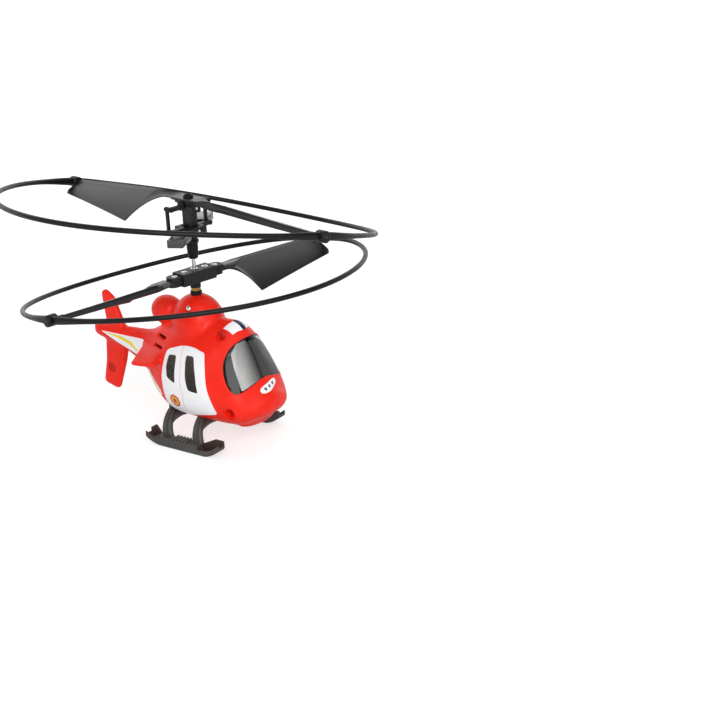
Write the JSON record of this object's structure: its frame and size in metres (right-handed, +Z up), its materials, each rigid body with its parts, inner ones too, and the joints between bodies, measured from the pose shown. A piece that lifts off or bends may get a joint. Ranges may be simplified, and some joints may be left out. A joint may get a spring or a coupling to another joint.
{
  "type": "toy coaxial helicopter",
  "caption": "Palm-sized toy helicopter: round cabin shell, runner skids, and two stacked counter-turning rotors with flybar, links and hanging guard rings.",
  "frame": {"origin": "on the rotor mast axis, at floor level under the runners", "axes": "+X towards the nose, +Y to port, +Z up along the mast"},
  "size_m": [0.1994, 0.1926, 0.1429],
  "materials": {
    "red_shell": "gloss moulded",
    "dark_window": "high gloss",
    "side_window": "gloss",
    "white_panel": "satin printed",
    "yellow_stripe": "satin printed",
    "grey_skid": "fine moulded texture",
    "steel": "turned and plated",
    "black_plastic": "satin moulded",
    "brass": "turned",
    "battery_wrap": "shrink wrap",
    "board_green": "solder mask",
    "red_lens": "clear moulded",
    "gear_nylon": "moulded nylon",
    "blade_grey": "flexible moulded",
    "weight_grey": "satin moulded",
    "ring_black": "satin flexible"
  },
  "bodies": {
    "airframe": {"right_shell": "red_shell", "left_shell": "red_shell", "windshield": "dark_window", "roof_window": "side_window", "roof_panels": "white_panel", "right_door": "white_panel", "left_door": "white_panel", "right_door_windows": "side_window", "left_door_windows": "side_window", "nose_badge": "white_panel", "right_stripe": "yellow_stripe", "left_stripe": "yellow_stripe", "right_skid": "grey_skid", "left_skid": "grey_skid", "shell_screws": "steel", "chassis": "black_plastic", "mast_collar": "black_plastic", "upper_bearing": "brass", "lower_bearing": "brass", "front_motor": "steel", "rear_motor": "steel", "battery_pack": "battery_wrap", "circuit_board": "board_green", "infrared_receiver": "black_plastic", "status_light": "red_lens", "charge_socket": "black_plastic", "switch_body": "steel"},
    "power_switch": {"switch_slider": "black_plastic"},
    "front_motor_rotor": {"front_pinion": "brass", "front_motor_shaft": "steel"},
    "rear_motor_rotor": {"rear_pinion": "brass", "rear_motor_shaft": "steel"},
    "upper_rotor": {"inner_shaft": "steel", "inner_shaft_gear": "gear_nylon", "rotor_post": "black_plastic", "pivot_pins": "steel"},
    "lower_rotor": {"outer_shaft": "steel", "outer_shaft_gear": "gear_nylon", "lower_hub": "black_plastic", "lower_blade_a": "blade_grey", "lower_blade_b": "blade_grey", "lower_hub_screws": "steel", "shaft_ring": "brass"},
    "upper_head": {"head_rocker": "black_plastic", "upper_blades": "blade_grey", "cap_screw": "black_plastic"},
    "flybar": {"flybar_hub": "black_plastic", "flybar_rods": "steel", "flybar_weights": "weight_grey"},
    "starboard_link": {"link_a": "black_plastic"},
    "port_link": {"link_b": "black_plastic"},
    "upper_guard": {"upper_ring": "ring_black"},
    "lower_guard": {"lower_ring": "ring_black"}
  },
  "joints": [
    {"name": "upper_rotor_spin", "type": "hinge", "parent": "airframe", "child": "upper_rotor", "pos_m": [0, 0, 0.1], "axis": [0, 0, 1], "continuous": true},
    {"name": "lower_rotor_spin", "type": "hinge", "parent": "airframe", "child": "lower_rotor", "pos_m": [0, 0, 0.06], "axis": [0, 0, 1], "continuous": true},
    {"name": "front_motor_spin", "type": "hinge", "parent": "airframe", "child": "front_motor_rotor", "pos_m": [0.0126, 0, 0.04], "axis": [0, 0, 1], "continuous": true},
    {"name": "rear_motor_spin", "type": "hinge", "parent": "airframe", "child": "rear_motor_rotor", "pos_m": [-0.0126, 0, 0.04], "axis": [0, 0, 1], "continuous": true},
    {"name": "blade_feather", "type": "hinge", "parent": "upper_rotor", "child": "upper_head", "pos_m": [0, 0, 0.1255], "axis": [-0.9877, 0.1564, 0], "range_deg": [-12, 12]},
    {"name": "flybar_rock", "type": "hinge", "parent": "upper_rotor", "child": "flybar", "pos_m": [0, 0, 0.1135], "axis": [-0.9877, 0.1564, 0], "range_deg": [-12, 12]},
    {"name": "starboard_link_pivot", "type": "hinge", "parent": "upper_head", "child": "starboard_link", "pos_m": [0.00197, 0.01244, 0.1265], "axis": [-0.9877, 0.1564, 0], "range_deg": [-12, 12]},
    {"name": "port_link_pivot", "type": "hinge", "parent": "upper_head", "child": "port_link", "pos_m": [-0.00197, -0.01244, 0.1265], "axis": [-0.9877, 0.1564, 0], "range_deg": [-12, 12]},
    {"name": "upper_ring_swing", "type": "hinge", "parent": "upper_rotor", "child": "upper_guard", "pos_m": [0, 0, 0.1255], "axis": [-0.9877, 0.1564, 0], "range_deg": [-26, 0]},
    {"name": "lower_ring_swing", "type": "hinge", "parent": "lower_rotor", "child": "lower_guard", "pos_m": [0, 0, 0.0883], "axis": [-0.1736, -0.9848, 0], "range_deg": [-18, 0]},
    {"name": "switch_slide", "type": "slide", "parent": "airframe", "child": "power_switch", "axis": [1, 0, 0], "range_m": [0, 0.003]}
  ],
  "couplings": [
    {"joint": "front_motor_spin", "follows": "lower_rotor_spin", "ratio": -4},
    {"joint": "rear_motor_spin", "follows": "upper_rotor_spin", "ratio": -4},
    {"joint": "flybar_rock", "follows": "blade_feather", "ratio": 1},
    {"joint": "starboard_link_pivot", "follows": "blade_feather", "ratio": -1},
    {"joint": "port_link_pivot", "follows": "blade_feather", "ratio": -1}
  ]
}
